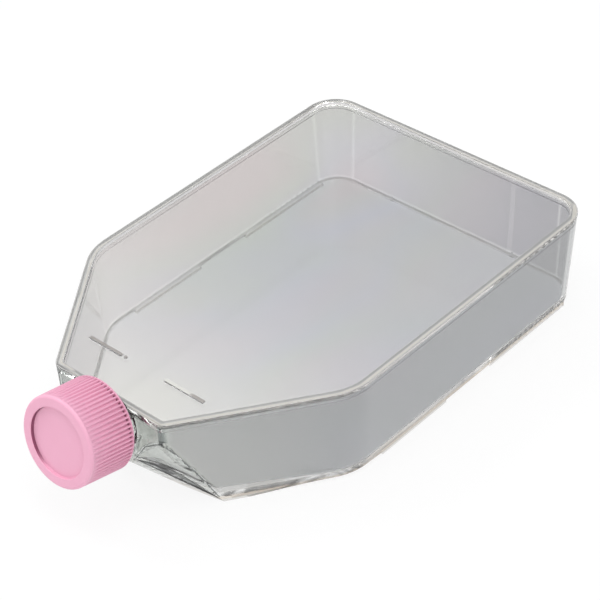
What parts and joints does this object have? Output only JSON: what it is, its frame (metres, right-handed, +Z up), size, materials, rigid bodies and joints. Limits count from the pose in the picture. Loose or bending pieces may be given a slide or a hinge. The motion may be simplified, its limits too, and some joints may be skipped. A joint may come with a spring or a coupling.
{
  "type": "cell culture flask",
  "caption": "Clear flat-bottomed tissue culture flask, a wide tray with a canted neck, a ramp under the neck, a raised stacking rim and a pink knurled plug-seal screw cap",
  "frame": {"origin": "the middle of the whole flask's bounding box, on the surface that the feet stand on", "axes": "+X runs along the flask from the neck to the back wall, +Z is up through the top plate, +Y is across the flask"},
  "size_m": [0.233, 0.138, 0.0555],
  "materials": {
    "polystyrene": "clear, glossy",
    "cap": "satin"
  },
  "bodies": {
    "flask": {"flask_tub": "polystyrene", "top_plate": "polystyrene"},
    "cap": {"screw_cap": "cap"}
  },
  "joints": [
    {"name": "cap_lift", "type": "slide", "parent": "flask", "child": "cap", "axis": [-0.9781, 0, 0.2079], "range_m": [0, 0.04]}
  ]
}
